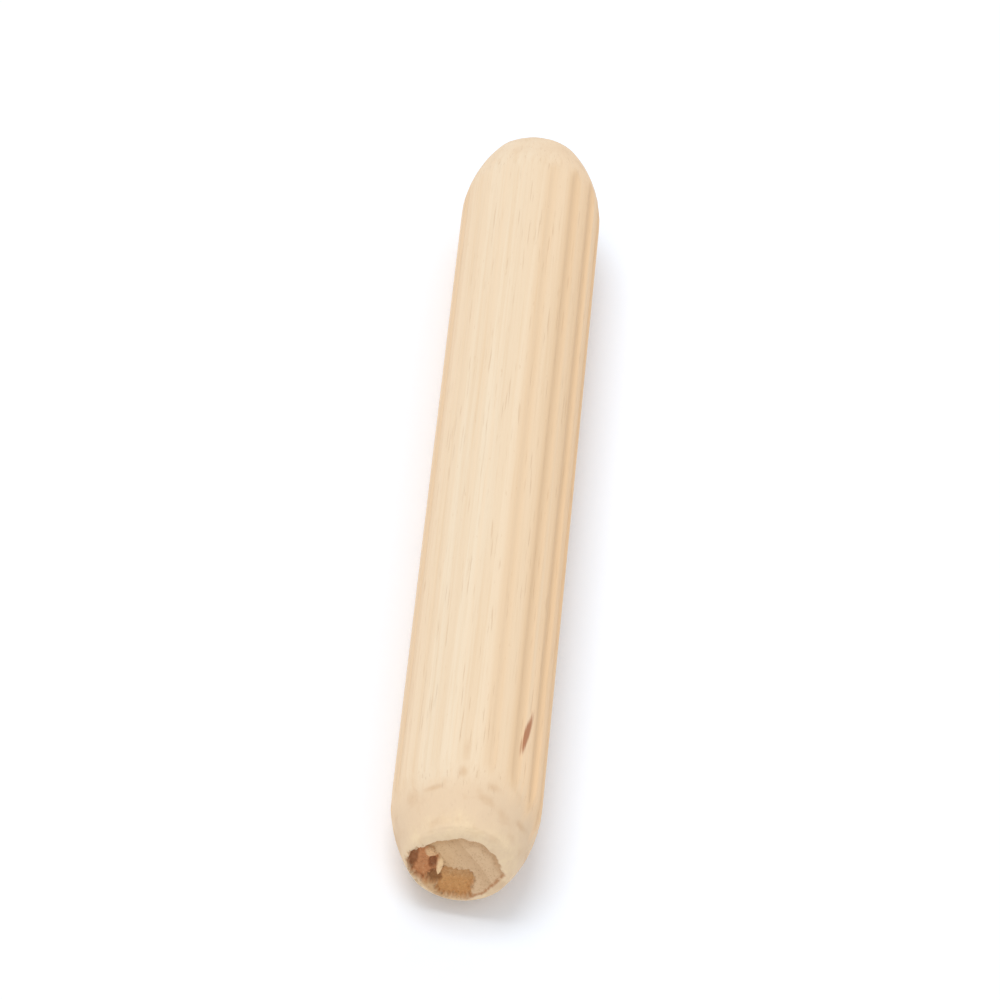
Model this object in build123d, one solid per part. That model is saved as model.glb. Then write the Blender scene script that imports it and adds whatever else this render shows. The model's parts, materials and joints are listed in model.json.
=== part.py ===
from build123d import *
import math
import os

# A fluted wooden dowel pin, sawn from a pressed rod and rounded at both ends.
# It lies on its side along X with +Z up, and the origin is at mid-length on its axis.
# Angles round the pin start at +Y and turn towards +Z, so 90 is the top and 270 the bottom.

# Whole pin, in millimetres
pin_length = 63.5
shank_diameter = 9.1

# Rounded ends: a convex bevel that runs down to the sawn flat
bevel_length = 4.6
end_diameter = 6.2
bevel_start_angle = 5.0

# Flutes: round-bottomed hollows that leave ribs standing between them
flute_count = 17
flute_depth = 0.27
flute_radius = 0.62

# One flute faces straight down, so the pin lies still on the two ribs beside it
bottom_flute_angle = 270.0

# The flutes fade out towards a strip that the fluting wheel barely touched
plain_strip_angle = 122.0
plain_half_angle = 22.0
fading_angle = 100.0

# How far a cutter reaches past the wood that it cuts
overrun = 1.0

# Values worked out from the sizes above
shank_radius = shank_diameter / 2
end_radius = end_diameter / 2
half_length = pin_length / 2
half_turn = 180.0
full_turn = 2 * half_turn
right_angle = half_turn / 2
flute_pitch_angle = full_turn / flute_count


def polar(radius, angle):
    """The point of a flat sketch at a radius and an angle from its centre."""
    return Vector(radius, 0).rotate(Axis.Z, angle)


def flute_depth_at(angle):
    """How deep the flute at this angle is: nothing in the plain strip, then deeper away from it."""
    away = abs((angle - plain_strip_angle + half_turn) % full_turn - half_turn)
    grade_share = (away - plain_half_angle) / fading_angle
    return flute_depth * min(max(grade_share, 0), 1)


def flute_half_angle(depth):
    """The angle from a flute's middle to the edge of the rib beside it.

    That edge, the flute's own centre and the pin's axis make a triangle with known sides.
    """
    centre_radius = shank_radius - depth + flute_radius
    squares = shank_radius**2 + centre_radius**2 - flute_radius**2
    return math.degrees(math.acos(squares / (2 * shank_radius * centre_radius)))


def flute_arc(angle, depth):
    """The outline of one flute, from the rib before it to the rib after it."""
    half_angle = flute_half_angle(depth)
    rib_before = polar(shank_radius, angle - half_angle)
    root = polar(shank_radius - depth, angle)
    rib_after = polar(shank_radius, angle + half_angle)
    return ThreePointArc(rib_before, root, rib_after)


def fluted_section():
    """The cross section of the shank: crowns that all lie on one circle, with flutes between them."""
    flutes = []
    for index in range(flute_count):
        angle = bottom_flute_angle + index * flute_pitch_angle
        depth = flute_depth_at(angle)
        if depth > 0:
            flutes.append((angle, depth))
    outline = []
    following = flutes[1:] + flutes[:1]
    for (angle, depth), (next_angle, next_depth) in zip(flutes, following):
        crown_start = angle + flute_half_angle(depth)
        crown_end = next_angle - flute_half_angle(next_depth)
        crown_size = (crown_end - crown_start) % full_turn
        outline.append(flute_arc(angle, depth))
        outline.append(CenterArc((0, 0), shank_radius, crown_start, crown_size))
    return make_face(outline)


def end_rounding():
    """The ring of wood that is taken off the +X end to leave its convex bevel.

    The bevel's arc is carried on past the shank and past the sawn face, so it cuts both cleanly.
    """
    bevel_start = Vector(half_length - bevel_length, shank_radius)
    bevel_end = Vector(half_length, end_radius)
    bevel = TangentArc(bevel_start, bevel_end, tangent=polar(1, -bevel_start_angle))
    centre = bevel.arc_center
    radius = bevel.radius
    far_x = half_length + overrun
    far_angle = math.degrees(math.acos((far_x - centre.X) / radius))
    cutting_arc = CenterArc(centre, radius, far_angle, right_angle - far_angle)
    outside = shank_radius + overrun
    rim = Polyline(cutting_arc @ 1, (centre.X, outside), (far_x, outside), cutting_arc @ 0)
    return revolve(Plane.XZ * make_face([cutting_arc, rim]), Axis.X)


def dowel_pin():
    """A length of fluted rod with both ends rounded."""
    rod = extrude(Plane.YZ * fluted_section(), amount=half_length, both=True)
    near_rounding = end_rounding()
    far_rounding = mirror(near_rounding, about=Plane.YZ)
    return rod - near_rounding - far_rounding


os.makedirs("parts", exist_ok=True)
export_step(dowel_pin(), "parts/dowel_pin.step")
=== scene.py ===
# %% [markdown]
# A fluted dowel pin
#
# A dowel pin joins two boards: half of it is glued into a hole in each. This one is a short length of pale
# hardwood rod. Flutes were pressed into its side to let air and spare glue out of the hole, and both ends
# were rounded so that it starts easily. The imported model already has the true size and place, so this
# lesson only dresses it: one wooden piece, one wood finish, a white floor, soft light and a camera.

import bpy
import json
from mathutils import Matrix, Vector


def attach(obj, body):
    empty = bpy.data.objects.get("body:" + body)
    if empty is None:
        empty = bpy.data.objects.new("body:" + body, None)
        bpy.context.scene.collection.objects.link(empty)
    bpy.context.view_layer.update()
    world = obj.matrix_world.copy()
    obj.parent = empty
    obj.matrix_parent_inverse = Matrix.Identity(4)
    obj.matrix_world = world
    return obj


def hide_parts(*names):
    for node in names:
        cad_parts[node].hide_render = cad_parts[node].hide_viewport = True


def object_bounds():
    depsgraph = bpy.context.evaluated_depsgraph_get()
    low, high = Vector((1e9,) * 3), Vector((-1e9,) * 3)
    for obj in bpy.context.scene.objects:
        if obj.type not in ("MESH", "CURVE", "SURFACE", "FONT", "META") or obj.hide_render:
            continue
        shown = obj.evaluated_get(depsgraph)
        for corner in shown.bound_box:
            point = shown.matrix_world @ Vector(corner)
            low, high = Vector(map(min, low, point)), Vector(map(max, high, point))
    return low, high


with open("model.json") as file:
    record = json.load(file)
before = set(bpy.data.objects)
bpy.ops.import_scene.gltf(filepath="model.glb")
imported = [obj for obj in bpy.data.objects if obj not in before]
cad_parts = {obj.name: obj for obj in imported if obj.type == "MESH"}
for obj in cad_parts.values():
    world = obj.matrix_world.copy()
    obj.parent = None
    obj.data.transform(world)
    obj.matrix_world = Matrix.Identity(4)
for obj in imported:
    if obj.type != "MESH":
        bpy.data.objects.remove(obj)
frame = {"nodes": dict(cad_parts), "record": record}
cad_low, cad_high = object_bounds()
printed_digits = 5


def rounded(corner):
    """A corner of a box, short enough to print."""
    return [round(number, printed_digits) for number in corner]


print("CAD box in metres:", rounded(cad_low), "to", rounded(cad_high))

# %% [markdown]
# The sizes
#
# The pin lies along X with the end that faces the camera at +X, and +Z is up. Its main sizes could be typed
# in again, but then a change to the solid would leave the looks behind. So they are read from the loaded
# frame: the length from its box, the shank from its mount and the sawn end from the solid's own points.
# Only the fluting and the slope at which a bevel starts, which the record doesn't hold, are repeated here.

# %% Sizes from the frame, and the fluting
import math

import bpy
from mathutils import Quaternion, Vector

MM = 0.001
shank = next(mount for mount in frame["record"]["mounts"] if mount["name"] == "shank")
solid_points = [vertex.co for vertex in frame["nodes"]["dowel_pin"].data.vertices]

half_length = cad_high.x
shank_radius = shank["dims"]["r_mm"] * MM
bevel_length = half_length - shank["dims"]["length_mm"] * MM / 2
flat_tolerance = 0.001 * MM
end_points = [point for point in solid_points if point.x > half_length - flat_tolerance]
end_radius = max(math.hypot(point.y, point.z) for point in end_points)

# Angles round the pin start at +Y and turn towards +Z, so a quarter turn is the top.
flute_count = 17
flute_depth = 0.27 * MM
flute_radius = 0.62 * MM
bottom_flute_angle = math.radians(270)
plain_strip_angle = math.radians(122)
plain_half_angle = math.radians(22)
fading_angle = math.radians(100)
bevel_start_angle = math.radians(5)
print(f"pin {2 * half_length / MM:.1f} mm long, {2 * shank_radius / MM:.2f} mm thick, "
      f"bevels {bevel_length / MM:.2f} mm long, sawn ends {2 * end_radius / MM:.2f} mm across")

# %% [markdown]
# The camera
#
# The photograph looks down the pin at 44 degrees to its axis, with the far end leaning a little to the
# right and about a tenth narrower than the near one. A pin that lies flat shows the same view to a camera 43
# degrees above the floor and between six and seven pin lengths away. It stands 5 degrees to the left of the
# pin's line, so that the flutes come where the photograph has them. The lean could come from walking round
# the pin further, but that would turn the flutes out of place again, so the camera is rolled instead.

# %% Camera
view_elevation = math.radians(43.4)
view_azimuth = math.radians(85.2)
view_roll = math.radians(13.2)
distance_in_lengths = 6.6
height_share_of_frame = 0.8

camera_distance = distance_in_lengths * 2 * half_length
pin_height = 2 * (half_length * math.sin(view_elevation) + shank_radius * math.cos(view_elevation))
towards_camera = Vector((
    math.sin(view_azimuth) * math.cos(view_elevation),
    -math.cos(view_azimuth) * math.cos(view_elevation),
    math.sin(view_elevation),
))
camera_data = bpy.data.cameras.new("camera")
camera_data.lens = camera_data.sensor_width * camera_distance / (pin_height / height_share_of_frame)
camera = bpy.data.objects.new("camera", camera_data)
camera.location = towards_camera * camera_distance
camera.rotation_mode = "QUATERNION"
camera.rotation_quaternion = towards_camera.to_track_quat("Z", "Y") @ Quaternion((0, 0, 1), view_roll)
bpy.context.scene.collection.objects.link(camera)
bpy.context.scene.camera = camera
bpy.context.scene.view_settings.view_transform = "Standard"
print(f"camera {camera_distance:.2f} m away with a lens of {camera_data.lens:.0f} mm")

# %% [markdown]
# Sums made of nodes
#
# Both the shape and the wood follow formulas, and in Blender a formula is a web of Math nodes. Adding and
# linking each node by hand hides the formula, so a small class lets a socket take part in a sum the way a
# number does: every plus or times sign quietly adds one Math node. The same helpers serve Geometry Nodes and
# materials, because both trees use the same Math, Map Range and Noise nodes.

# %% A socket that can be added and multiplied
class Field:
    """A socket of a node tree that takes part in sums, as a number does."""

    def __init__(self, socket):
        self.socket = socket
        self.tree = socket.id_data

    def __add__(self, other):
        return calculate("ADD", self, other)

    def __radd__(self, other):
        return calculate("ADD", other, self)

    def __sub__(self, other):
        return calculate("SUBTRACT", self, other)

    def __rsub__(self, other):
        return calculate("SUBTRACT", other, self)

    def __mul__(self, other):
        return calculate("MULTIPLY", self, other)

    def __truediv__(self, other):
        return calculate("DIVIDE", self, other)

    def __rtruediv__(self, other):
        return calculate("DIVIDE", other, self)


def feed(socket, value):
    """Links a field to a socket, or sets the socket to a plain value."""
    if isinstance(value, Field):
        value.tree.links.new(value.socket, socket)
    else:
        socket.default_value = value


def add_node(tree, kind, options=None, inputs=None):
    """A new node with its options set and its named inputs fed."""
    node = tree.nodes.new(kind)
    for name, value in (options or {}).items():
        setattr(node, name, value)
    for name, value in (inputs or {}).items():
        feed(node.inputs[name], value)
    return node


def calculate(operation, *values):
    """One Math node, fed by fields and plain numbers."""
    tree = next(value.tree for value in values if isinstance(value, Field))
    node = add_node(tree, "ShaderNodeMath", {"operation": operation})
    for socket, value in zip(node.inputs, values):
        feed(socket, value)
    return Field(node.outputs[0])


print("sums of sockets are ready")

# %% Helpers for limits, ramps and vectors
def highest(*values):
    """The largest of some fields and numbers."""
    result = values[0]
    for value in values[1:]:
        result = calculate("MAXIMUM", result, value)
    return result


def ramp(value, start, end):
    """A smooth step that is 0 at start and 1 at end, which may be the smaller of the two."""
    inputs = {"Value": value, "From Min": start, "From Max": end}
    node = add_node(value.tree, "ShaderNodeMapRange", {"interpolation_type": "SMOOTHSTEP"}, inputs)
    return Field(node.outputs["Result"])


def share_of(value, whole):
    """How far value has come from 0 to whole, kept between 0 and 1."""
    return highest(calculate("MINIMUM", value / whole, 1.0), 0.0)


def hypotenuse(across, up):
    """The length of the long side over two short ones."""
    return calculate("SQRT", across * across + up * up)


def vector(x, y, z):
    """A vector from three fields."""
    node = add_node(x.tree, "ShaderNodeCombineXYZ", None, {"X": x, "Y": y, "Z": z})
    return Field(node.outputs["Vector"])


def parts_of(place):
    """The three numbers of a vector."""
    node = add_node(place.tree, "ShaderNodeSeparateXYZ", None, {"Vector": place})
    return [Field(socket) for socket in node.outputs]


print("limits, ramps and vectors are ready")

# %% Helpers for patterns and colours
from collections import namedtuple

noise_middle = 0.5
Layer = namedtuple("Layer", "tint where share")


def scaled(place, along, across):
    """A place in metres times a scale per millimetre along the pin, and another across it."""
    node = add_node(place.tree, "ShaderNodeVectorMath", {"operation": "MULTIPLY"})
    feed(node.inputs[0], place)
    feed(node.inputs[1], (along / MM, across / MM, across / MM))
    return Field(node.outputs["Vector"])


def noise(place, seed, detail=2.0, roughness=0.5):
    """Soft random values about noise_middle, roughly one lump to a unit of place. The seed fixes them."""
    inputs = {"Vector": place, "W": seed, "Scale": 1.0, "Detail": detail, "Roughness": roughness}
    node = add_node(place.tree, "ShaderNodeTexNoise", {"noise_dimensions": "4D"}, inputs)
    return Field(node.outputs["Fac"])


def colour(red, green, blue):
    """A colour as it looks on a screen, from 0 to 255, turned into the linear light that shaders use."""
    def linear(level):
        # The standard screen curve: a straight start, and then a power
        level = level / 255
        return level / 12.92 if level <= 0.04045 else ((level + 0.055) / 1.055) ** 2.4
    return (linear(red), linear(green), linear(blue), 1.0)


def mixed(first, second, factor):
    """A colour between two others: the first at factor 0, and the second at 1."""
    node = add_node(factor.tree, "ShaderNodeMix", {"data_type": "RGBA"})
    sockets = [socket for socket in node.inputs if socket.enabled]
    for socket, value in zip(sockets, (factor, first, second)):
        feed(socket, value)
    return Field(next(socket for socket in node.outputs if socket.enabled))


def layered(base, layers):
    """A base colour with layers mixed over it: each has a tint, where it lies and how much of it shows."""
    for layer in layers:
        base = mixed(base, layer.tint, layer.where * layer.share)
    return base


print("screen grey 188 in linear light:", round(colour(188, 188, 188)[0], 3))

# %% [markdown]
# The white floor
#
# The photograph is a cut-out on pure white with a soft shadow. A real white sheet never quite reaches white,
# and turning the lamps up would bleach the pin. So the floor is a shade whiter to the camera, and to what
# reflects it, than to the light that bounces off it. It still darkens where the pin keeps light away, and it
# is a little blue, as the photograph's shadow is. From below it is clear, so that the underside can be looked
# at too.

# %% White floor
floor_half_size = 3.0
seen_white = (1.01, 1.06, 1.14, 1.0)
bounced_white = (0.9, 0.9, 0.9, 1.0)


def seen_directly(tree):
    """1 for rays from the camera, or from a reflection or a clear surface that it sees, and else 0."""
    path = add_node(tree, "ShaderNodeLightPath")
    kinds = ("Is Camera Ray", "Is Glossy Ray", "Is Transmission Ray")
    return highest(*[Field(path.outputs[kind]) for kind in kinds])


def mixed_shaders(first, second, factor):
    """The first shader at factor 0, and the second at 1."""
    node = add_node(factor.tree, "ShaderNodeMixShader", None, {"Fac": factor})
    factor.tree.links.new(first, node.inputs[1])
    factor.tree.links.new(second, node.inputs[2])
    return node.outputs["Shader"]


floor_material = bpy.data.materials.new("white floor")
floor_material.use_nodes = True
floor_tree = floor_material.node_tree
floor_tree.nodes.clear()
floor_colour = mixed(bounced_white, seen_white, seen_directly(floor_tree))
lit = add_node(floor_tree, "ShaderNodeBsdfDiffuse", None, {"Color": floor_colour})
clear = add_node(floor_tree, "ShaderNodeBsdfTransparent")
from_below = Field(add_node(floor_tree, "ShaderNodeNewGeometry").outputs["Backfacing"])
floor_surface = mixed_shaders(lit.outputs["BSDF"], clear.outputs["BSDF"], from_below)
floor_output = add_node(floor_tree, "ShaderNodeOutputMaterial")
floor_tree.links.new(floor_surface, floor_output.inputs["Surface"])

corners = [(-1, -1), (1, -1), (1, 1), (-1, 1)]
floor_mesh = bpy.data.meshes.new("floor")
floor_corners = [(x * floor_half_size, y * floor_half_size, cad_low.z) for x, y in corners]
floor_mesh.from_pydata(floor_corners, [], [(0, 1, 2, 3)])
floor_mesh.materials.append(floor_material)
floor = bpy.data.objects.new("floor", floor_mesh)
bpy.context.scene.collection.objects.link(floor)
print(f"floor at {cad_low.z / MM:.2f} mm, under the pin's lowest ribs")

# %% [markdown]
# The soft light
#
# The pin is lit evenly, with faint shading in the flutes and a soft shadow to its right. Several lamps could
# do that, but one large lamp and a pale sky are easier to balance. The softbox hangs nearly overhead, a
# little to the left, and shades the flutes. The sky fills the shadows, and where the camera would see it
# there is a plain white backdrop instead.

# %% Soft light
sky_strength = 0.72
sky_colour = (0.96, 0.98, 1.0, 1.0)
backdrop_strength = 1.0
backdrop_colour = (1.0, 1.0, 1.0, 1.0)
softbox_direction = Vector((0.0, -0.25, 0.97)).normalized()
softbox_distance = 1.6
softbox_size = 0.8
softbox_level = 0.355
softbox_colour = (1.0, 0.99, 0.97)

world = bpy.data.worlds.new("white studio")
bpy.context.scene.world = world
world.use_nodes = True
world_tree = world.node_tree
sky = world_tree.nodes["Background"]
feed(sky.inputs["Color"], sky_colour)
feed(sky.inputs["Strength"], sky_strength)
backdrop_inputs = {"Color": backdrop_colour, "Strength": backdrop_strength}
backdrop = add_node(world_tree, "ShaderNodeBackground", None, backdrop_inputs)
world_surface = mixed_shaders(sky.outputs[0], backdrop.outputs[0], seen_directly(world_tree))
world_tree.links.new(world_surface, world_tree.nodes["World Output"].inputs["Surface"])

# A lamp of P watts, d metres from a white sheet that faces it, makes the sheet P / (pi * d)**2 bright.
softbox_data = bpy.data.lights.new("softbox", "AREA")
softbox_data.size = softbox_size
softbox_data.color = softbox_colour
softbox_data.energy = softbox_level * (math.pi * softbox_distance) ** 2
softbox = bpy.data.objects.new("softbox", softbox_data)
softbox.location = softbox_direction * softbox_distance
softbox.rotation_mode = "QUATERNION"
softbox.rotation_quaternion = softbox_direction.to_track_quat("Z", "Y")
bpy.context.scene.collection.objects.link(softbox)
print(f"softbox of {softbox_data.energy:.2f} W over a sky of {sky_strength}")

# %% [markdown]
# The wood: where its pattern comes from
#
# The rod was sawn along the grain from a pale, even hardwood. Growth rings pass through the whole pin, so on
# its side they show as long faint lines and on its ends as short arcs. A flat picture wrapped round it
# would not agree at the edges, so the pattern is solid: it is worked out from the place in the wood, as
# Object coordinates give it, and every cut shows the right grain by itself. Lengthwise detail is stretched
# noise, with a small scale along the pin and a large one across it.

# %% Rings, fibres, pores and ray flecks
wood = bpy.data.materials.new("pale hardwood")
wood.use_nodes = True
wood_tree = wood.node_tree
wood_shader = wood_tree.nodes["Principled BSDF"]

place = Field(add_node(wood_tree, "ShaderNodeTexCoord").outputs["Object"])
x_mm, y_mm, z_mm = [part / MM for part in parts_of(place)]

# The rings are long cylinders about the heart of the tree, which lay below the pin and to its left.
heart_y_mm = -30.0
heart_z_mm = -26.0
ring_width_mm = 1.6
ring_drift_per_mm = 0.011
ring_waviness_mm = 0.9
ring_wave = noise(scaled(place, along=0.02, across=0.12), seed=3.0)
heart_distance = hypotenuse(y_mm - heart_y_mm, z_mm - heart_z_mm)
ring_place = heart_distance + x_mm * ring_drift_per_mm + ring_wave * ring_waviness_mm
ring_share = calculate("FRACT", ring_place / ring_width_mm)
late_wood = ramp(ring_share, start=0.35, end=0.93) * ramp(ring_share, start=1.0, end=0.95)

broad_tone = noise(scaled(place, along=0.02, across=0.22), seed=11.0)
streaks = noise(scaled(place, along=0.022, across=2.6), seed=5.0, detail=3.0, roughness=0.6)
fibres = noise(scaled(place, along=0.16, across=9.0), seed=7.0, detail=3.0, roughness=0.6)
pore_noise = noise(scaled(place, along=0.3, across=8.0), seed=13.0, detail=1.0)
pores = ramp(pore_noise, start=0.63, end=0.74)
ray_noise = noise(scaled(place, along=1.3, across=6.5), seed=17.0, detail=1.0)
ray_flecks = ramp(ray_noise, start=0.68, end=0.78)
print("wood patterns on object coordinates:", len(wood_tree.nodes), "nodes so far")

# %% [markdown]
# The wood: its colours
#
# The pressed side is cream, with warmer lines where the late wood and the pores are. Where the press worked
# hard the wood is burnished to a warmer tone, and the same warm layer paints shade and warm bounced light on
# the side that faces away from the lamp. The flutes are painted browner, as painted shade in their hollows.
# The bevels cut across the grain, whose open tubes swallow light, so they are a shade darker than the side,
# and the difference between the near and the far bevel is painted light and shade. The bruises are darker
# again, and the lip round the near end is paler and patchy, partly pale fibres and partly a painted
# highlight. One colour ramp could not hold all that, so thin layers are mixed over one another. Where a
# colour belongs to a place on the shape, the mesh carries an attribute that says how much of it shows.

# %% Colours of the side
cream = colour(243, 223, 195)
warm_cream = colour(243, 217, 184)
late_line = colour(231, 199, 160)
pore_brown = colour(208, 167, 124)
# Warm burnish, and also painted shade and warm bounced light on the side away from the lamp
burnish_and_shade_warm = colour(255, 211, 161)
# Painted shade in the flutes' hollows
flute_shade_tan = colour(228, 190, 146)
# End grain is darker; the near bevel's fuller share of this tan is painted shade
bevel_grain_and_shade_tan = colour(236, 208, 175)
# Pale torn fibres on the near end's lip, brightened further as a painted highlight
lip_pale_and_highlight = colour(249, 223, 184)


def attribute(name):
    """A value that the mesh stores at its points."""
    return Field(add_node(wood_tree, "ShaderNodeAttribute", {"attribute_name": name}).outputs["Fac"])


mottling = noise(scaled(place, along=0.75, across=0.6), seed=29.0, detail=3.0)
in_flute = attribute("flute")
on_bevel = attribute("bevel")
side = layered(cream, [
    # Burnish with painted shade and bounced light: palest towards the lamp, warmer away from it
    Layer(burnish_and_shade_warm, attribute("burnish_and_shade"), share=0.9),
    Layer(warm_cream, ramp(broad_tone, start=0.4, end=0.65), share=0.45),
    Layer(late_line, late_wood, share=0.2),
    Layer(warm_cream, ramp(streaks, start=0.45, end=0.75), share=0.6),
    Layer(late_line, ramp(streaks, start=0.5, end=0.3), share=0.35),
    Layer(late_line, ramp(fibres, start=0.5, end=0.72), share=0.3),
    Layer(pore_brown, pores, share=0.3),
    Layer(pore_brown, ray_flecks, share=0.2),
    # Painted shade in the flutes
    Layer(flute_shade_tan, in_flute, share=0.52),
    # End grain tan, fuller on the near bevel as painted shade
    Layer(bevel_grain_and_shade_tan, on_bevel, share=0.95),
    # The lip: pale fibres and a painted highlight
    Layer(lip_pale_and_highlight, attribute("lip"), share=0.8),
    Layer(pore_brown, on_bevel * ramp(mottling, start=0.48, end=0.7), share=0.35),
    Layer(pore_brown, attribute("bruise"), share=0.4),
])
print("side colours mixed:", len(wood_tree.nodes), "nodes so far")

# %% [markdown]
# The wood: a mineral fleck
#
# Near the end that faces the camera a short reddish fleck runs slantwise down one rib. It could be a sliver
# of mesh, but on the real pin it is only a stain in the wood. So it is painted by its place: a long thin
# spot, measured along the pin and round it, with its edge pushed about by the fibres.

# %% Fleck on a rib
fleck_brown = colour(172, 102, 60)
fleck_angle = math.radians(51)
fleck_middle_mm = 23.3
fleck_half_length_mm = 2.35
fleck_half_width_mm = 0.28
fleck_slant = 0.16
fleck_fraying = 1.3

past_middle_mm = x_mm - fleck_middle_mm
round_mm = z_mm * math.cos(fleck_angle) - y_mm * math.sin(fleck_angle)
fleck_along = past_middle_mm / fleck_half_length_mm
fleck_across = (round_mm - past_middle_mm * fleck_slant) / fleck_half_width_mm
fleck_reach = hypotenuse(fleck_along, fleck_across) + (fibres - noise_middle) * fleck_fraying

# The formula also holds on the opposite side of the pin, so only the fleck's own half is kept.
outward_mm = y_mm * math.cos(fleck_angle) + z_mm * math.sin(fleck_angle)
fleck_half = ramp(outward_mm, start=0.0, end=0.1)
fleck = ramp(fleck_reach, start=1.0, end=0.45) * fleck_half
side = layered(side, [Layer(fleck_brown, fleck, share=0.85)])
print("fleck at", fleck_middle_mm, "mm on the rib at", round(math.degrees(fleck_angle)), "degrees")

# %% [markdown]
# The wood: the sawn ends
#
# The saw left the ends rough, and end grain is tan because its open tubes swallow light. On the end that
# faces the camera the fibres broke out: the break is reddish in a pocket at the left edge and orange-brown
# below the middle, with painted shade where it is deepest, a pale splinter in it and a painted shadow line
# along the lip at the lower right. A painted picture could show that, but only from one side. So the mesh
# holds the shape of the damage and says where each kind is, the colours follow that, and the grain speckles
# them.

# %% Colours of the sawn ends
end_tan = colour(222, 182, 136)
end_light = colour(230, 195, 156)
end_line = colour(190, 148, 106)
torn_tan = colour(205, 157, 107)
torn_orange = colour(214, 157, 98)
torn_red = colour(208, 140, 94)
# Dark grain in the break, and painted shade where it is deepest
torn_dark_and_shade = colour(122, 78, 50)
# A painted shadow line along the lip at the lower right
crease_shade_brown = colour(180, 116, 70)
splinter_pale = colour(250, 212, 164)

# A sawn face grows lighter towards +Y, and unevenly so. Broken wood turns orange between two heights.
lightness_in_middle = 0.42
lightness_per_mm = 0.12
lightness_by_tone = 0.4
orange_top_mm = -0.7
orange_full_mm = -1.6

end_grain = noise(scaled(place, along=1.5, across=5.5), seed=19.0, detail=3.0, roughness=0.65)
end_pore_noise = noise(scaled(place, along=2.0, across=11.0), seed=23.0, detail=1.0)
end_pores = ramp(end_pore_noise, start=0.6, end=0.72)
lightness = broad_tone * lightness_by_tone + y_mm * lightness_per_mm + lightness_in_middle
on_end = attribute("sawn_end")
torn = attribute("torn")
sawn = layered(end_tan, [
    Layer(end_light, ramp(lightness, start=0.3, end=0.8), share=1.0),
    Layer(end_line, late_wood, share=0.3),
    Layer(end_line, ramp(end_grain, start=0.5, end=0.75), share=0.5),
    Layer(end_line, end_pores, share=0.5),
    # Painted shade just under the lip
    Layer(end_line, attribute("under_lip"), share=0.35),
    # Painted shadow line inside the lower-right lip
    Layer(crease_shade_brown, attribute("crease_shade"), share=0.75),
])
broken_wood = layered(torn_tan, [
    Layer(torn_orange, ramp(z_mm, start=orange_top_mm, end=orange_full_mm), share=0.9),
    Layer(torn_red, attribute("pocket"), share=0.85),
    Layer(splinter_pale, attribute("pocket_light"), share=0.7),
    Layer(splinter_pale, ramp(end_grain, start=0.48, end=0.34), share=0.25),
    Layer(torn_dark_and_shade, ramp(end_grain, start=0.52, end=0.7), share=0.35),
    # Painted shade in the deepest hollows
    Layer(torn_dark_and_shade, attribute("deepest"), share=0.52),
])
end_colour = mixed(sawn, broken_wood, torn)
end_colour = mixed(end_colour, splinter_pale, attribute("splinter"))
feed(wood_shader.inputs["Base Color"], mixed(side, end_colour, highest(on_end, torn)))
print("end colours mixed:", len(wood_tree.nodes), "nodes so far")

# %% [markdown]
# The wood: its feel
#
# Bare pressed wood has a dull satin look along the grain and none at all on a sawn end. The roughness follows
# the fibres a little. Finer mesh could carry the fibres too, but only with millions of faces. So a bump lifts
# the fibres and sinks the pores, by a few hundredths of a millimetre.

# %% Roughness and bump
specular_level = 0.35
satin_roughness = 0.52
fibre_roughness = 0.16
worked_roughness = 0.06
end_roughness = 0.2
rough_side = satin_roughness + fibres * fibre_roughness
rough_side = rough_side + in_flute * worked_roughness + on_bevel * worked_roughness
feed(wood_shader.inputs["Specular IOR Level"], specular_level)
feed(wood_shader.inputs["Roughness"], rough_side + on_end * end_roughness)

bump_height = 0.045 * MM
bump_strength = 0.6
fibre_height = 0.6
streak_height = 0.4
pore_sink = 0.5
grain_height = 1.6
end_pore_sink = 0.8
bevel_grain_height = 0.5
side_height = fibres * fibre_height + streaks * streak_height - pores * pore_sink
end_height = end_grain * grain_height - end_pores * end_pore_sink
bevel_height = (end_grain - noise_middle) * bevel_grain_height
wood_height = side_height + on_end * (end_height - side_height) + on_bevel * bevel_height
bump_inputs = {"Strength": bump_strength, "Distance": bump_height, "Height": wood_height}
bump = add_node(wood_tree, "ShaderNodeBump", None, bump_inputs)
feed(wood_shader.inputs["Normal"], Field(bump.outputs["Normal"]))
print("finished wood:", len(wood_tree.nodes), "nodes")

# %% [markdown]
# The pin's shape: a tree with named sizes
#
# The pin follows a rule: at each place along it and each angle round it there is one radius. It could be a
# cylinder cut by seventeen tools, but booleans leave ragged meshes, and real ribs are soft. So Geometry
# Nodes take a flat grid, roll it up and give every point its radius by formula. The grid's rows run from the
# middle of the far end, out over its bevel, along the shank and back into the middle of the near end.

# %% Tree and inputs
pin_tree = bpy.data.node_groups.new("rolled and fluted pin", "GeometryNodeTree")
pin_tree.is_modifier = True
pin_tree.interface.new_socket("Geometry", in_out="OUTPUT", socket_type="NodeSocketGeometry")
pin_sizes = {
    "Half length": half_length,
    "Shank radius": shank_radius,
    "End radius": end_radius,
    "Bevel length": bevel_length,
    "Flute count": flute_count,
    "Flute depth": flute_depth,
    "Flute radius": flute_radius,
    "Faint flute depth": 0.022 * MM,
    "Rib rounding share": 0.9,
    "Fibre relief": 0.018 * MM,
    "Tear depth": 0.5 * MM,
    "Seed": 4.0,
}


def new_input(name, socket_type):
    """Adds a named input to the pin's tree, and gives the identifier that a modifier sets it by."""
    return pin_tree.interface.new_socket(name, in_out="INPUT", socket_type=socket_type).identifier


identifiers = {}
for name, value in pin_sizes.items():
    identifiers[name] = new_input(name, "NodeSocketInt" if isinstance(value, int) else "NodeSocketFloat")
wood_identifier = new_input("Wood", "NodeSocketMaterial")
pin_inputs = pin_tree.nodes.new("NodeGroupInput")


def size(name):
    """One of the tree's named inputs."""
    return Field(pin_inputs.outputs[name])


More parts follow.
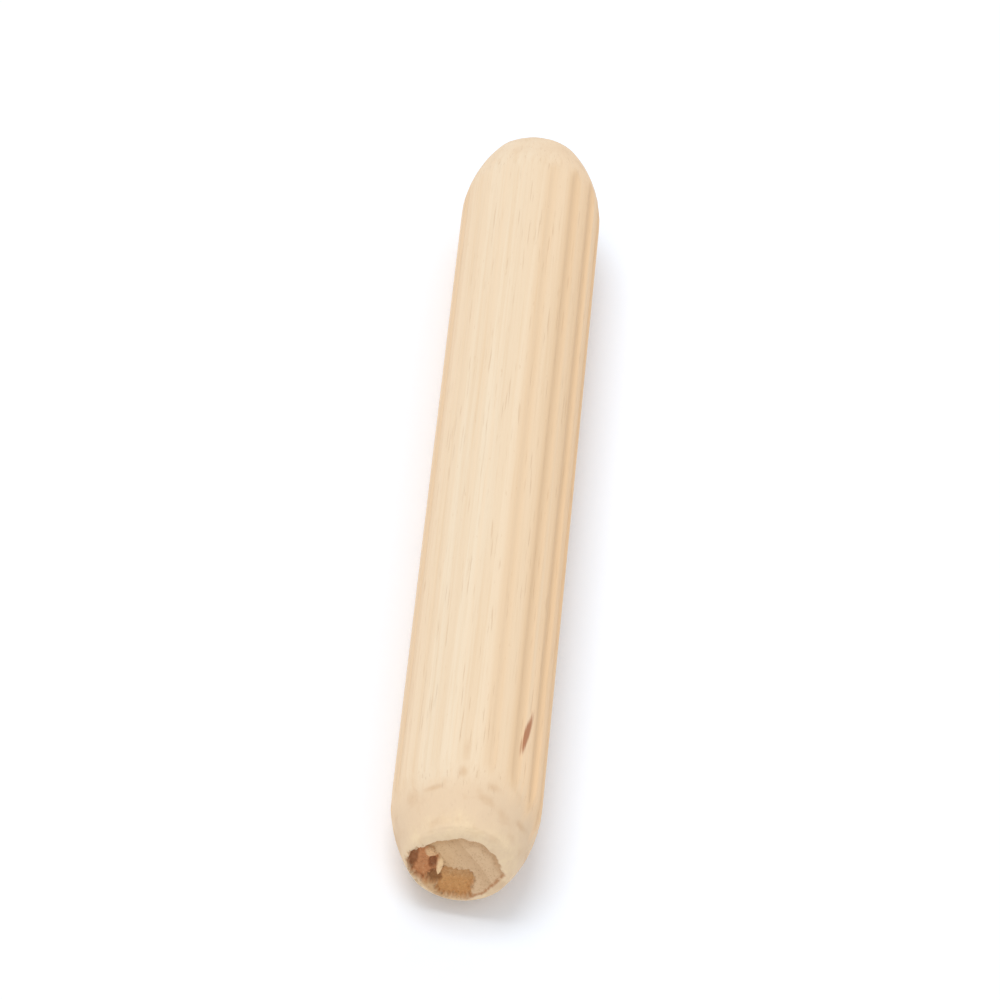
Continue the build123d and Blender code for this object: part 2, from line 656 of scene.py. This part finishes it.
seed = size("Seed")
print("pin tree with", len(pin_sizes), "named sizes, one of them a seed")

# %% Grid rows and columns
face_rows = 44
bevel_rows = 46
shank_rows = 60
columns_per_flute = 24
columns = flute_count * columns_per_flute
rows = 2 * (face_rows + bevel_rows) + shank_rows

grid = add_node(pin_tree, "GeometryNodeMeshGrid")
feed(grid.inputs["Vertices X"], rows + 1)
feed(grid.inputs["Vertices Y"], columns + 1)

# Half an index more keeps a row's first point from being rounded down into the row before.
half_index = 0.5
index = Field(add_node(pin_tree, "GeometryNodeInputIndex").outputs["Index"])
row = calculate("FLOOR", (index + half_index) / (columns + 1))
column = index - row * (columns + 1)
angle = column * (2 * math.pi / columns)
cosine = calculate("COSINE", angle)
sine = calculate("SINE", angle)
print(rows, "rows by", columns, "columns make about", 2 * rows * columns, "triangles")

# %% [markdown]
# The pin's shape: its profile
#
# Each row knows how many rows it is from the nearer end. The first rows cross the sawn face, the next climb
# the bevel and the rest run along the shank. The bevel could be a straight chamfer, but the real one is
# convex. It is an arc that starts nearly in line with the shank, so its circle follows from its two ends and
# its slope there.

# %% Profile from the middle of an end to mid-length
# The row at mid-length counts as near, so that no row is without a sign.
quarter_row = 0.25
end_sign = calculate("SIGN", row - (rows / 2 - quarter_row))
from_end = calculate("MINIMUM", row, rows - row)
face_share = share_of(from_end, face_rows)
bevel_share = share_of(from_end - face_rows, bevel_rows)
shank_share = share_of(from_end - (face_rows + bevel_rows), shank_rows / 2)
reach = size("Bevel length")
depth_in = bevel_share * reach + shank_share * (size("Half length") - reach)

# The circle's middle lies square to the bevel's start, as far from one end of the bevel as from the other.
drop = size("Shank radius") - size("End radius")
slope_run = math.cos(bevel_start_angle)
slope_fall = math.sin(bevel_start_angle)
bevel_radius = (drop * drop + reach * reach) / ((drop * slope_run - reach * slope_fall) * 2.0)
middle_in = reach + bevel_radius * slope_fall
middle_out = size("Shank radius") - bevel_radius * slope_run
inward = calculate("MINIMUM", depth_in, reach) - middle_in
arc_height = calculate("SQRT", bevel_radius * bevel_radius - inward * inward)

# Past its start the bevel is carried on straight, outside the shank.
past_bevel = highest(depth_in - reach, 0.0)
bevelled_radius = middle_out + arc_height + past_bevel * math.tan(bevel_start_angle)
print("profile: face, bevel and shank rows", face_rows, bevel_rows, shank_rows)

# %% [markdown]
# The pin's shape: its flutes
#
# Seventeen round-bottomed flutes stand round the shank, and one faces straight down. Seventeen cutters could
# be placed one by one, but wrapping the angle to one pitch turns the pattern into a single flute. Its depth
# comes from how far its middle is from the plain strip, where the press hardly touched, and its line wanders
# a little. A smooth minimum of the flute and the plain round rod leaves ribs with soft edges, and the same
# with the bevel makes the flutes run out into it.

# %% Flutes that fade towards the plain strip
flute_wander = math.radians(1.6)
lightest_press = 0.8
press_variation = 0.4

x_start = end_sign * (size("Half length") - depth_in)
rod_place = vector(x_start, cosine * size("Shank radius"), sine * size("Shank radius"))
wander_noise = noise(scaled(rod_place, along=0.035, across=0.05), seed, detail=1.0)
turned = angle + (wander_noise - noise_middle) * flute_wander - bottom_flute_angle
half_pitch = math.pi / size("Flute count")
from_flute = calculate("WRAP", turned, half_pitch, half_pitch * -1.0)
flute_middle = turned - from_flute + bottom_flute_angle


def angle_between(direction, other):
    """The angle between two directions round the pin, whichever way is shorter."""
    return calculate("ABSOLUTE", calculate("WRAP", direction - other, math.pi, -math.pi))


grade = share_of(angle_between(flute_middle, plain_strip_angle) - plain_half_angle, fading_angle)
press_noise = noise(scaled(rod_place, along=0.05, across=0.5), seed + 1.0, detail=1.0)
pressed_depth = size("Flute depth") * grade * (press_noise * press_variation + lightest_press)
faint_noise = noise(scaled(rod_place, along=0.06, across=0.5), seed + 2.0)
faint_depth = size("Faint flute depth") * ramp(faint_noise, start=0.2, end=0.6)
flute_depth_here = highest(pressed_depth, faint_depth)

flute_centre = size("Shank radius") - flute_depth_here + size("Flute radius")
aside_flute = flute_centre * calculate("SINE", from_flute)
inside_square = size("Flute radius") * size("Flute radius") - aside_flute * aside_flute
flute_wall = calculate("SQRT", highest(inside_square, 0.0))
hollow_radius = flute_centre * calculate("COSINE", from_flute) - flute_wall
rib_rounding = flute_depth_here * size("Rib rounding share")
fluted_radius = calculate("SMOOTH_MIN", size("Shank radius"), hollow_radius, rib_rounding)
print("flutes:", flute_count, "of up to", round(flute_depth / MM, 2), "mm")

# %% [markdown]
# The pin's shape: its bevels
#
# A cutter rounded the ends and left them a little uneven, with a few bruises and a rim that isn't a true
# circle. It could be left to a bump, but a bump doesn't show on the outline. All of it is shallow. Most of it
# takes wood away, and the rim's wobble stays well inside the pin's own width.

# %% Bevels with raised fibres and an uneven rim
run_out = 0.1 * MM
bevel_unevenness = 0.07 * MM
rim_wobble = 0.22 * MM
rim_wobble_middle = 0.55
rim_reach = 1.4 * MM
cut_begins = 0.03 * MM
cut_full = -0.08 * MM

bevel_over_flute = bevelled_radius - fluted_radius
cut_by_bevel = ramp(bevel_over_flute, start=cut_begins, end=cut_full)
body_radius = calculate("SMOOTH_MIN", fluted_radius, bevelled_radius, run_out)
fibre_relief = noise(scaled(rod_place, along=0.05, across=1.9), seed + 3.0) * size("Fibre relief")
uneven_noise = noise(scaled(rod_place, along=0.55, across=0.8), seed + 4.0, detail=3.0)
wobble_noise = noise(scaled(rod_place, along=0.0, across=0.35), seed + 5.0)
wobble = (wobble_noise - rim_wobble_middle) * rim_wobble * ramp(depth_in, start=rim_reach, end=0.0)
body_radius = body_radius - fibre_relief - uneven_noise * bevel_unevenness * cut_by_bevel + wobble
print("bevels keep", bevel_rows, "rows each")

# %% Bruises
# Each bruise: its place along the pin, its angle, how far it reaches along and round, and its depth, in mm
bruises = [
    (28.1, math.radians(101), 0.6, 0.5, 0.05),
    (26.6, math.radians(99), 0.9, 0.4, 0.03),
    (29.0, math.radians(125), 0.28, 1.0, 0.04),
    (28.8, math.radians(75), 0.4, 0.7, 0.03),
    (29.9, math.radians(37), 0.35, 0.8, 0.04),
]

bruised = 0.0
for bruise_x, bruise_angle, along, around, depth in bruises:
    turn = calculate("WRAP", angle - bruise_angle, math.pi, -math.pi)
    distance = hypotenuse((x_start / MM - bruise_x) / along, turn * (shank_radius / MM / around))
    bruise = ramp(distance, start=1.0, end=0.0)
    body_radius = body_radius - bruise * (depth * MM)
    bruised = bruise + bruised
radius = body_radius * face_share
print(len(bruises), "bruises near the camera's end")

# %% [markdown]
# The pin's shape: its sawn ends
#
# Both ends are rough from the saw, with a narrow lip where the bevel folds over the edge. The near one is
# torn as well: fibres broke out of a pocket at the left edge and a squarish flake below the middle, a
# splinter stands between them, and the lip hangs ragged along the top. It could be carved with a brush, but
# strokes can't be written as a rule. So each break is an oval, or a block with rounded corners, on the end's
# plane, and noise is added to how far inside it a point lies, so that no edge of a break is smooth.

# %% Breaks of the near end
is_near = (end_sign + 1.0) * 0.5
end_y_mm = radius * cosine / MM
end_z_mm = radius * sine / MM
end_place = vector(x_start, radius * cosine, radius * sine)
ragged_noise = noise(scaled(end_place, along=1.0, across=1.4), seed + 6.0, detail=5.0, roughness=0.75)
frayed_noise = noise(scaled(end_place, along=1.0, across=4.5), seed + 9.0, detail=3.0, roughness=0.6)
ragged = ragged_noise - noise_middle
frayed = frayed_noise - noise_middle

# Each shape on the near end: its middle across and up, then half its width and height, in mm
pocket_oval = (-2.1, -0.45, 1.1, 1.6)
flake_block = (-0.05, -1.5, 1.15, 1.25)
splinter_oval = (-1.18, -0.33, 0.2, 0.85)
pocket_light_oval = (-1.8, 0.5, 0.45, 0.5)
# The deepest places are sunk further and also carry painted shade
deepest_ovals = [(-2.8, -0.4, 0.3, 1.0), (-1.32, -1.55, 0.45, 0.45), (-1.6, -0.55, 0.25, 0.55)]


def inside_oval(middle_y, middle_z, half_width, half_height):
    """1 in the middle of an oval on the near end, 0 on its edge and less beyond."""
    return 1.0 - hypotenuse((end_y_mm - middle_y) / half_width, (end_z_mm - middle_z) / half_height)


def inside_block(middle_y, middle_z, half_width, half_height):
    """The same for a block with rounded corners: fourth powers bulge an oval out into them."""
    across = (end_y_mm - middle_y) / half_width
    up = (end_z_mm - middle_z) / half_height
    return 1.0 - calculate("SQRT", hypotenuse(across * across, up * up))


def spot(inside, start=-0.1, end=0.3, raggedness=1.0, fraying=0.6):
    """1 well inside a shape on the near end, 0 well outside it, and ragged between."""
    return ramp(inside + ragged * raggedness + frayed * fraying, start, end) * is_near


in_flake = spot(inside_block(*flake_block), start=-0.06, end=0.16, raggedness=0.45)
in_pocket = spot(inside_oval(*pocket_oval))
pocket_light = spot(inside_oval(*pocket_light_oval))
deepest = spot(highest(*[inside_oval(*oval) for oval in deepest_ovals]))
broken = highest(in_flake, in_pocket, deepest)
splinter = spot(inside_oval(*splinter_oval), start=0.0, end=0.25, raggedness=0.4, fraying=0.0)
print("near end: a pocket, a flake, a splinter and", len(deepest_ovals), "dark places; far end: plainly sawn")

# %% Lip and crease
plain_lip_mm = 0.12
top_lip_mm = 0.62
side_lip_mm = 0.3
lip_raggedness_mm = 0.5
least_lip_share = 0.3

lip_wave = noise(scaled(end_place, along=1.0, across=0.8), seed + 8.0, detail=2.0) - noise_middle
top_lip = ramp(end_z_mm, start=0.1, end=2.4) * top_lip_mm
side_lip = ramp(end_y_mm, start=0.8, end=2.2) * side_lip_mm
widening = top_lip + side_lip + lip_wave + ragged * lip_raggedness_mm
lip_width_mm = plain_lip_mm + widening * is_near
rim_distance_mm = (body_radius - radius) / MM
past_lip_mm = rim_distance_mm - lip_width_mm
lip = ramp(past_lip_mm, start=0.12, end=-0.08) * (1.0 - broken)
lip_patches = ramp(ragged, start=-0.1, end=0.12) * (1.0 - least_lip_share) + least_lip_share

# Just inside the lip, the lower right has a painted shadow line, and the upper side is sunk and painted a
# little darker, as painted shade under the lip.
crease_shade_line = ramp(past_lip_mm, start=-0.03, end=0.04) * ramp(past_lip_mm, start=0.34, end=0.1)
lower_right = ramp(end_y_mm, start=0.3, end=1.2) * ramp(end_z_mm, start=0.3, end=-0.5) * is_near
crease_shade = crease_shade_line * ramp(frayed, start=-0.16, end=0.0) * lower_right
# The upper side just inside the lip is sunk and carries painted shade
upper_side = ramp(end_z_mm, start=-0.6, end=0.8) * is_near
under_lip = ramp(past_lip_mm, start=0.0, end=0.1) * ramp(past_lip_mm, start=0.9, end=0.15) * upper_side
widest_lip_mm = plain_lip_mm + top_lip_mm + side_lip_mm
print(f"lip {plain_lip_mm} mm wide on the far end, about {widest_lip_mm:.1f} mm at the near one's top right")

# %% How deep each place of the ends lies
saw_angle = math.radians(24)
saw_mark_pitch_mm = 0.55
saw_mark_depth_mm = 0.012
saw_mark_wander = 4.0
rough_depth_mm = 0.1
under_lip_depth_mm = 0.12
rim_rounding_mm = 0.55
rim_fall_mm = 0.14
rim_fall_variation_mm = 0.3

rough = noise(scaled(end_place, along=1.0, across=2.2), seed + 7.0, detail=3.0, roughness=0.65)
across_saw_mm = end_y_mm * math.cos(saw_angle) + end_z_mm * math.sin(saw_angle)
saw_turn = across_saw_mm * (2 * math.pi / saw_mark_pitch_mm) + ragged * saw_mark_wander
saw_marks_mm = (calculate("SINE", saw_turn) + 1.0) * saw_mark_depth_mm
saw_sink_mm = rough * rough_depth_mm + saw_marks_mm + under_lip * under_lip_depth_mm
rim_share = share_of(rim_rounding_mm - rim_distance_mm, rim_rounding_mm)
rim_sink_mm = rim_share * rim_share * (rim_fall_mm + lip_wave * rim_fall_variation_mm)

# Shares of the tear depth
even_share = 0.35
rough_share = 0.6
pocket_share = 0.3
deepest_share = 0.4
pocket_light_share = 0.3
tear_shares = rough * rough_share + even_share + in_pocket * pocket_share + deepest * deepest_share
tear_sink = size("Tear depth") * (tear_shares - pocket_light * pocket_light_share)

flat_reach = 0.3 * MM
tear_reach = 0.9 * MM
splinter_height_share = 0.85
on_face = ramp(depth_in, start=flat_reach, end=0.0)
near_rim = ramp(depth_in, start=tear_reach, end=0.0)
flat_sink = (saw_sink_mm * (1.0 - lip) + rim_sink_mm) * on_face * MM
sink = (flat_sink + broken * near_rim * tear_sink) * (1.0 - splinter * splinter_height_share)
x_place = x_start - end_sign * sink
most_torn = pin_sizes["Tear depth"] * (even_share + rough_share + pocket_share + deepest_share)
print(f"a tear goes at most about {most_torn / MM:.1f} mm deeper than the saw did")

# %% [markdown]
# The pin's shape: what the wood has to know
#
# The wood reads its places from values stored on the mesh, such as how far down a flute a point lies. They
# could be painted by hand, but the formulas above know them already. The painted shade of each flute lies a
# little to one side of its bottom, on the wall that faces away from the lamp. The side is palest to the left
# of the top, towards the lamp, and warms on the way round from there, partly as burnish and partly as painted
# shade and warm bounced light. The far bevel gets less tan than the near one and stays paler, as painted
# light, and the lip of the near end is patchy, with a painted highlight in part.

# %% Values to store
# The flutes' painted shade: full where a flute is deep enough, and shifted a little onto the wall away from
# the lamp
full_tint_depth = 0.3 * flute_depth
tint_offset_angle = math.radians(2)
tint_full_angle = math.radians(2)
tint_reach_angle = math.radians(9)
flutes_gone = -0.16 * MM
flutes_whole = 0.05 * MM
flute_ends = ramp(bevel_over_flute, start=flutes_gone, end=flutes_whole)
from_tint = calculate("ABSOLUTE", from_flute - tint_offset_angle)
flute_band = ramp(from_tint, start=tint_reach_angle, end=tint_full_angle)

# The side's warm layer: burnish, plus painted shade and warm bounced light that grow away from the lamp
palest_angle = math.radians(116)
palest_half_angle = math.radians(14)
warming_angle = math.radians(86)
from_palest = angle_between(angle, palest_angle) - palest_half_angle

# The near bevel takes all of the tan and the far one about a third: that difference is painted light and
# shade
bevel_tan_begins = 0.05 * MM
bevel_tan_full = -0.5 * MM
far_bevel_lit_share = 0.35
bevel_grain_and_shade_share = is_near * (1.0 - far_bevel_lit_share) + far_bevel_lit_share
bevel_band = ramp(bevel_over_flute, start=bevel_tan_begins, end=bevel_tan_full)

face_edge = 0.05 * MM
lip_wave_reach_mm = 3.0
on_sawn_face = ramp(depth_in, start=face_edge, end=0.0)
lip_depth_mm = depth_in / MM + lip_wave * lip_wave_reach_mm
# The lip's pale colour and painted highlight fade out along the bevel
lip_fade = ramp(lip_depth_mm, start=1.6, end=-0.2)
stored = {
    "flute": flute_band * share_of(flute_depth_here, full_tint_depth) * flute_ends,
    "burnish_and_shade": share_of(from_palest, warming_angle),
    "bevel": bevel_band * bevel_grain_and_shade_share,
    "bruise": bruised,
    "sawn_end": on_sawn_face * (1.0 - lip),
    "lip": lip_fade * lip * lip_patches * is_near,
    "torn": broken * near_rim,
    "deepest": deepest,
    "pocket_light": pocket_light,
    "crease_shade": crease_shade * on_sawn_face,
    "pocket": in_pocket,
    "splinter": splinter * on_sawn_face,
    "under_lip": under_lip * on_sawn_face,
}
print("values for the wood:", ", ".join(stored))

# %% [markdown]
# The pin's shape: from grid to mesh
#
# The tree stores those values and moves the grid's points to their places. Rolled up this way the grid's
# faces look inwards, so they are flipped, and then the seam and the two end points are welded shut. The
# grid's own map is kept as a flat layout of the whole skin. The modifier could stay on the piece, but the
# other tools want plain meshes. So the result is turned into one and the modifier is taken off.

# %% Position, welding and material
weld_distance = 0.0001 * MM


def then(geometry, kind, options=None, inputs=None):
    """The geometry after one more node."""
    node = add_node(pin_tree, kind, options, inputs)
    pin_tree.links.new(geometry, node.inputs[0])
    return node.outputs[0]


layout_options = {"data_type": "FLOAT2", "domain": "CORNER"}
layout_inputs = {"Name": "OFBake", "Value": Field(grid.outputs["UV Map"])}
skin = then(grid.outputs["Mesh"], "GeometryNodeStoreNamedAttribute", layout_options, layout_inputs)
point_options = {"data_type": "FLOAT", "domain": "POINT"}
for name, value in stored.items():
    skin = then(skin, "GeometryNodeStoreNamedAttribute", point_options, {"Name": name, "Value": value})
rolled_up = vector(x_place, radius * cosine, radius * sine)
skin = then(skin, "GeometryNodeSetPosition", None, {"Position": rolled_up})
skin = then(skin, "GeometryNodeFlipFaces")
skin = then(skin, "GeometryNodeMergeByDistance", None, {"Distance": weld_distance})
skin = then(skin, "GeometryNodeSetShadeSmooth")
skin = then(skin, "GeometryNodeRealizeInstances")
skin = then(skin, "GeometryNodeSetMaterial", None, {"Material": size("Wood")})
pin_output = pin_tree.nodes.new("NodeGroupOutput")
pin_tree.links.new(skin, pin_output.inputs["Geometry"])
print("pin tree:", len(pin_tree.nodes), "nodes")

# %% Plain mesh of the pin
pin_piece = bpy.data.objects.new("pin_wood", bpy.data.meshes.new("pin_wood_start"))
bpy.context.scene.collection.objects.link(pin_piece)
pin_modifier = pin_piece.modifiers.new("pin", "NODES")
pin_modifier.node_group = pin_tree
for name, value in pin_sizes.items():
    pin_modifier[identifiers[name]] = value
pin_modifier[wood_identifier] = wood
finished = pin_piece.evaluated_get(bpy.context.evaluated_depsgraph_get())
pin_mesh = bpy.data.meshes.new_from_object(finished)
pin_mesh.name = "pin_wood"
pin_piece.modifiers.remove(pin_modifier)
pin_piece.data = pin_mesh
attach(pin_piece, "root")
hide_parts("dowel_pin")

# The volume is above zero only if the faces point outwards.
pin_mesh.calc_loop_triangles()
triangles = [[pin_mesh.vertices[i].co for i in triangle.vertices] for triangle in pin_mesh.loop_triangles]
volume = sum(a.dot(b.cross(c)) for a, b, c in triangles) / 6
assert volume > 0, "the pin is inside out"
print(f"pin mesh: {len(pin_mesh.vertices)} points, {len(triangles)} triangles, {volume / MM**3:.0f} cubic mm")

# %% [markdown]
# Closing the lesson
#
# The looks must not change the object's size.

# %% Sizes and finish
import json
